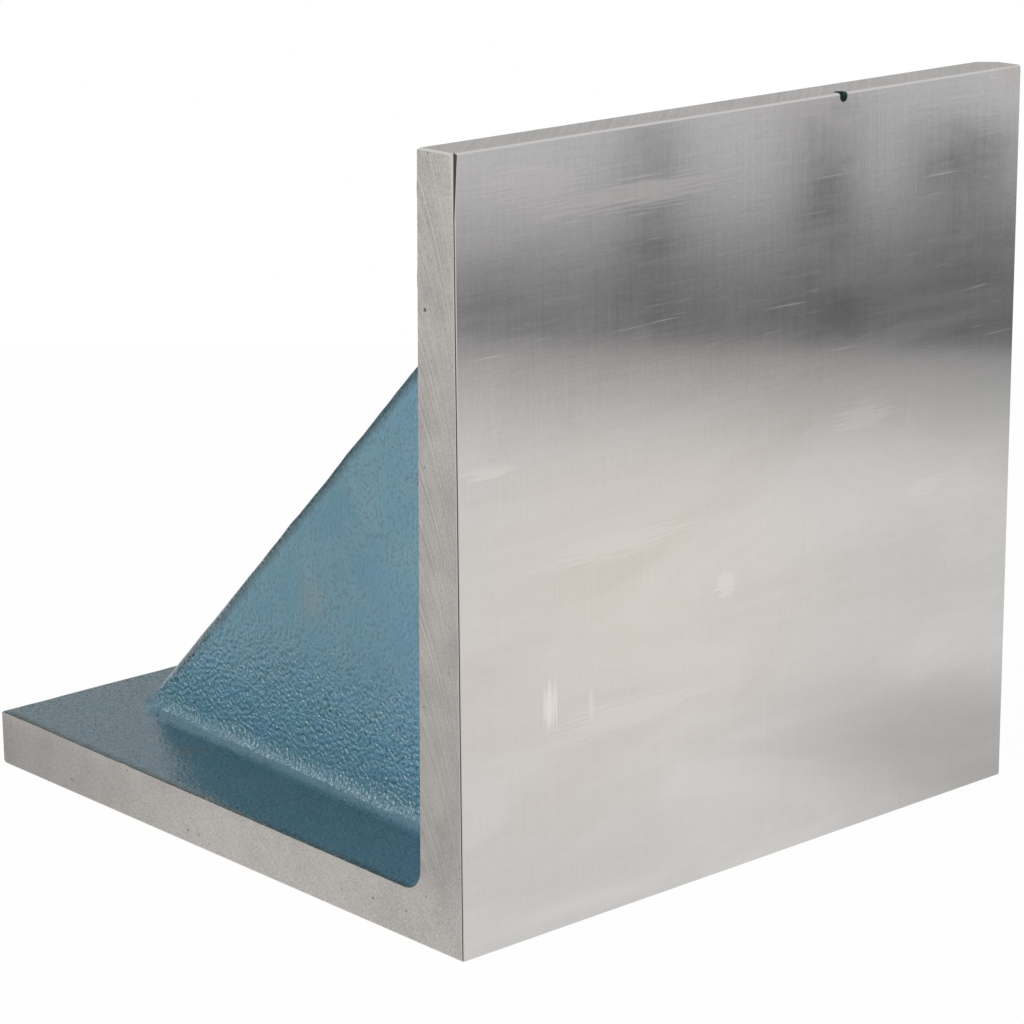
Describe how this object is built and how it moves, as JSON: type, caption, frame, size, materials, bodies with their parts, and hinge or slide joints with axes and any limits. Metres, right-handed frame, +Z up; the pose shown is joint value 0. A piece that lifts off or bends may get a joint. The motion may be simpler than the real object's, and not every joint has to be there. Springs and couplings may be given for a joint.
{
  "type": "angle plate",
  "caption": "Webbed right-angle plate, one iron casting: two square plates tied by drafted triangular webs, ground outside, painted inside.",
  "frame": {"origin": "middle of the footprint, on the surface that the plate stands on", "axes": "+Z up along the wall; the ground work face looks along -Y; the foot reaches out along +Y; +X to the right when facing the back of the work face, along its width"},
  "size_m": [0.2032, 0.2032, 0.2032],
  "materials": {
    "machined_iron": "ground and milled bare iron, satin",
    "casting_paint": "teal blue gloss enamel over the rough casting"
  },
  "bodies": {
    "root": {"angle_plate": "machined_iron"}
  },
  "joints": []
}
